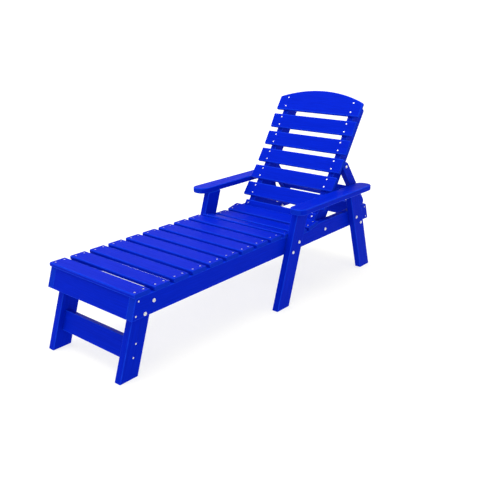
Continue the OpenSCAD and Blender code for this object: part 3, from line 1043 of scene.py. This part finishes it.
class LOUNGE_OT_back_slats(bpy.types.Operator):
    """Straight slats of the back and the arched crest slat above them"""

    bl_idname = "lounge.back_slats"
    bl_label = "Back Slats"

    def execute(self, context):
        size = sizes()
        boards = [Board(node) for node in BACK_SLATS]
        crest = Board("crest_slat")
        screws = slat_rods("back_screws", boards + [crest])
        for board in boards:
            bm = rounded_plank(board, size.slat_round, size.slat_end_round)
            board_piece(board, carve_screws(mesh_of(bm, board.node), board, screws))
        bm = prism(self.crest_loop(crest), crest.normal, 2 * crest.half[2])
        ease(bm, size.slat_round, LONG_SEGMENTS, self.is_arris)
        mark_cuts(bm, crest.along)
        board_piece(crest, carve_screws(mesh_of(bm, crest.node), crest, screws))
        return {"FINISHED"}

    def is_arris(self, edge):
        """True for the square edges, but not for the steps along the arch."""
        return abs(edge.calc_face_angle(0)) > math.radians(ARRIS_TURN)

    def crest_loop(self, crest):
        """Front outline of the crest slat: straight below, arched above."""
        half = crest.half
        bm = packed(crest.node)
        ends = [v.co - crest.centre for v in bm.verts]
        bm.free()
        upwards = 1 if crest.across.z > 0 else -1
        side = max(
            upwards * p.dot(crest.across) for p in ends if abs(p.dot(crest.along)) > half[0] - 0.1 * MM
        )
        rise = half[1] - side
        radius = (half[0] ** 2 + rise ** 2) / (2 * rise)
        span = math.asin(half[0] / radius)
        loop = [crest.point(-half[0], -upwards * half[1], half[2])]
        loop.append(crest.point(half[0], -upwards * half[1], half[2]))
        for i in range(ARCH_STEPS + 1):
            angle = span * (1 - 2 * i / ARCH_STEPS)
            across = half[1] - radius + radius * math.cos(angle)
            loop.append(crest.point(radius * math.sin(angle), upwards * across, half[2]))
        return straightened(loop, crest.normal)


class LOUNGE_OT_prop(bpy.types.Operator):
    """Folding prop: two round-ended arms and their crossbar"""

    bl_idname = "lounge.prop"
    bl_label = "Prop"

    def execute(self, context):
        size = sizes()
        screws = rods("prop_screws")
        for side in SIDES:
            board = Board(f"prop_arm_{side}", AXIS_X)
            mesh = mesh_of(shaped_board(board, size.board_round), board.node)
            board_piece(board, carve_screws(mesh, board, screws))
        board = Board("prop_crossbar")
        bm = rounded_plank(board, size.board_round, size.slat_end_round)
        board_piece(board, mesh_of(bm, board.node))
        return {"FINISHED"}


class LOUNGE_OT_screws(bpy.types.Operator):
    """Countersunk screws of the slats, aprons, stretcher, crossbar and arms"""

    bl_idname = "lounge.screws"
    bl_label = "Screws"

    def execute(self, context):
        seat = [Board(node) for node in SEAT_SLATS]
        back = [Board(node) for node in BACK_SLATS + ["crest_slat"]]
        turned_piece("seat_screws", slat_rods("seat_screws", seat), turn_screw)
        turned_piece("back_screws", slat_rods("back_screws", back), turn_screw)
        for node in ("frame_screws", "prop_screws"):
            turned_piece(node, rods(node), turn_screw)
        turned_piece("arm_screws", rods("arm_screws", AXIS_Z), turn_screw)
        return {"FINISHED"}


class LOUNGE_OT_bolts(bpy.types.Operator):
    """Domed bolts of the legs, the back's pivot and the prop's pivot"""

    bl_idname = "lounge.bolts"
    bl_label = "Bolts"

    def execute(self, context):
        for node in ("leg_bolts", "back_pivot_bolts", "prop_pivot_bolts"):
            turned_piece(node, rods(node), turn_bolt)
        return {"FINISHED"}


class LOUNGE_OT_nuts(bpy.types.Operator):
    """Locking nuts, spacers and arm plugs"""

    bl_idname = "lounge.nuts"
    bl_label = "Nuts, Spacers and Plugs"

    def execute(self, context):
        for node, (bolts, make) in BOLTED.items():
            bore = rods(bolts)[0].foot_radius + 0.02 * MM
            found = [self.facing_in(corners) for corners in islands(node)]
            turned_piece(node, found, lambda bm, rod: make(bm, rod, bore))
        plugs = [Rod(corners, AXIS_Z) for corners in islands("arm_plugs")]
        turned_piece("arm_plugs", plugs, turn_plug, board_material())
        return {"FINISHED"}

    def facing_in(self, corners):
        """A nut or spacer with its axis pointing to the middle of the chair."""
        rod = Rod(corners, AXIS_X)
        return Rod(corners, -AXIS_X) if rod.top > 0 else rod


class LOUNGE_OT_stage(bpy.types.Operator):
    """Pale floor, soft lights and the camera"""

    bl_idname = "lounge.stage"
    bl_label = "Stage"

    def execute(self, context):
        self.make_floor()
        self.make_lights()
        self.make_camera()
        return {"FINISHED"}

    def make_floor(self):
        """A wide round floor that sweeps up far away on every side."""
        bm = bmesh.new()
        flat, bend, steps, around = 10.0, 4.0, 10, 96
        profile = [(flat, 0.0)]
        for i in range(1, steps + 1):
            angle = math.pi / 2 * i / steps
            profile.append((flat + bend * math.sin(angle), bend * (1 - math.cos(angle))))
        profile.append((flat + bend, 3 * bend))
        rows = []
        for radius, height in profile:
            turns = [2 * math.pi * i / around for i in range(around)]
            rows.append([
                bm.verts.new((radius * math.cos(t), radius * math.sin(t), height)) for t in turns
            ])
        bm.faces.new(rows[0])
        for lower, upper in zip(rows, rows[1:]):
            for i in range(around):
                j = (i + 1) % around
                bm.faces.new((lower[j], lower[i], upper[i], upper[j]))
        mesh = mesh_of(bm, "floor")
        mesh.shade_smooth()
        floor = bpy.data.objects.new("floor", mesh)
        floor.location.z = -0.0005
        bpy.context.scene.collection.objects.link(floor)
        mesh.materials.append(floor_material())

    def make_lights(self):
        """Plain white surroundings and two soft lights."""
        stage = bpy.context.scene.lounge_stage
        world = bpy.data.worlds.new("studio")
        bpy.context.scene.world = world
        world.use_nodes = True
        background = world.node_tree.nodes["Background"]
        background.inputs["Color"].default_value = (1, 1, 1, 1)
        background.inputs["Strength"].default_value = stage.sky
        plan = (
            ("overhead_light", stage.overhead, 5.0, (-0.6, -0.2, 4.2)),
            ("front_light", stage.front, 3.0, (-1.6, -4.2, 2.2)),
        )
        for name, power, wide, place in plan:
            lamp = bpy.data.lights.new(name, "AREA")
            lamp.shape = "SQUARE"
            lamp.size = wide
            lamp.energy = power
            light = bpy.data.objects.new(name, lamp)
            light.location = place
            aim = Vector((0, 0, 0.35)) - Vector(place)
            light.rotation_euler = aim.to_track_quat("-Z", "Y").to_euler()
            bpy.context.scene.collection.objects.link(light)

    def make_camera(self):
        """The camera, placed by its angles about the point that it looks at."""
        stage = bpy.context.scene.lounge_stage
        a, e, roll = stage.azimuth, stage.elevation, stage.roll
        back = Vector((math.sin(a) * math.cos(e), -math.cos(a) * math.cos(e), math.sin(e)))
        right = Vector((math.cos(a), math.sin(a), 0))
        up = back.cross(right)
        level_right = right * math.cos(roll) + up * math.sin(roll)
        level_up = up * math.cos(roll) - right * math.sin(roll)
        place = Vector(stage.target) + back * stage.distance
        turned = Matrix((level_right, level_up, back)).transposed().to_4x4()
        data = bpy.data.cameras.new("camera")
        data.sensor_width = 36
        data.lens = stage.lens
        data.clip_end = 100
        camera = bpy.data.objects.new("camera", data)
        camera.matrix_world = Matrix.Translation(place) @ turned
        bpy.context.scene.collection.objects.link(camera)
        bpy.context.scene.camera = camera
        bpy.context.scene.view_settings.view_transform = "Standard"


class LOUNGE_PT_panel(bpy.types.Panel):
    """Sizes, colours and every step of the chair, in order"""

    bl_idname = "LOUNGE_PT_panel"
    bl_label = "Lounge Chair"
    bl_space_type = "VIEW_3D"
    bl_region_type = "UI"
    bl_category = "Lounge Chair"

    def draw(self, context):
        for group in (context.scene.lounge_sizes, context.scene.lounge_colours,
                      context.scene.lounge_stage):
            box = self.layout.box()
            for name in group.__annotations__:
                box.prop(group, name)
        for step in STEPS:
            self.layout.operator(step.bl_idname)


STEPS = (
    LOUNGE_OT_rails,
    LOUNGE_OT_cross_boards,
    LOUNGE_OT_legs,
    LOUNGE_OT_arms,
    LOUNGE_OT_seat_slats,
    LOUNGE_OT_uprights,
    LOUNGE_OT_back_slats,
    LOUNGE_OT_prop,
    LOUNGE_OT_screws,
    LOUNGE_OT_bolts,
    LOUNGE_OT_nuts,
    LOUNGE_OT_stage,
)
GROUPS = {"lounge_sizes": LoungeSizes, "lounge_colours": LoungeColours, "lounge_stage": LoungeStage}


def register():
    """Adds the classes and their settings."""
    for group in GROUPS.values():
        bpy.utils.register_class(group)
    for name, group in GROUPS.items():
        setattr(bpy.types.Scene, name, bpy.props.PointerProperty(type=group))
    for step in STEPS:
        bpy.utils.register_class(step)
    bpy.utils.register_class(LOUNGE_PT_panel)


def unregister():
    """Takes the classes and their settings away."""
    bpy.utils.unregister_class(LOUNGE_PT_panel)
    for step in reversed(STEPS):
        bpy.utils.unregister_class(step)
    for name, group in GROUPS.items():
        delattr(bpy.types.Scene, name)
        bpy.utils.unregister_class(group)


def main():
    """Makes every piece and the stage."""
    register()
    for step in STEPS:
        group, name = step.bl_idname.split(".")
        getattr(getattr(bpy.ops, group), name)()


if __name__ == "__main__":
    main()
